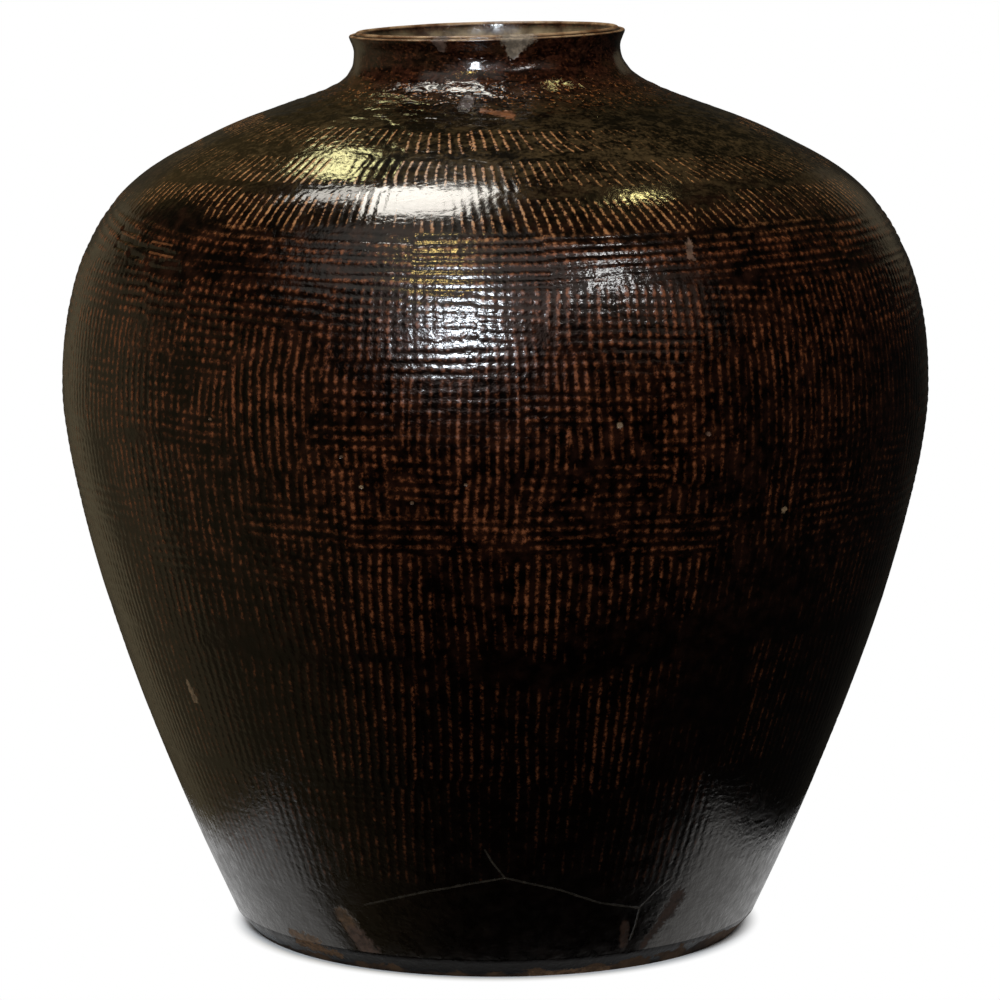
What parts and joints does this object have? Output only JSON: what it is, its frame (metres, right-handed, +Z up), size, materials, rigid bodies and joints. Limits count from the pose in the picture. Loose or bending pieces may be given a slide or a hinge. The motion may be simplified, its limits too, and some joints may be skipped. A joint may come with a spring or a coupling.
{
  "type": "storage jar",
  "caption": "Large wide-shouldered stoneware storage jar with a narrow neck, a rolled lip, a flat foot and a brown-black glaze over a paddled surface.",
  "frame": {"origin": "centre of the flat face that the jar stands on, at floor level", "axes": "+Z up along the jar's axis; -Y towards the viewer of the picture; +X to the right in the picture"},
  "size_m": [0.5756, 0.5756, 0.602],
  "materials": {
    "bare_clay": "unglazed brown stoneware, matt, with a dusty standing ring",
    "inner_glaze": "thin dark brown wash glaze inside, satin",
    "foot_glaze": "glossy brown-black glaze, thick over the foot, with chips and a hairline crack",
    "dark_glaze": "glossy brown-black glaze over paddled grooves, worn rust on the ridges",
    "rust_glaze": "glossy dark brown glaze, broken to rust orange on the paddled ridges",
    "olive_glaze": "glossy olive brown glaze, mottled with orange",
    "neck_glaze": "glossy red-brown glaze, mottled",
    "worn_lip": "glaze wiped and worn to grey-tan clay along the lip"
  },
  "bodies": {
    "root": {"base_slab": "bare_clay", "corner_coil": "inner_glaze", "foot_course": "foot_glaze", "lower_wall_course": "dark_glaze", "middle_wall_course": "rust_glaze", "belly_course": "rust_glaze", "upper_belly_course": "rust_glaze", "lower_shoulder_course": "dark_glaze", "upper_shoulder_course": "olive_glaze", "shoulder_crown": "olive_glaze", "neck_collar": "neck_glaze", "rim_roll": "worn_lip"}
  },
  "joints": []
}
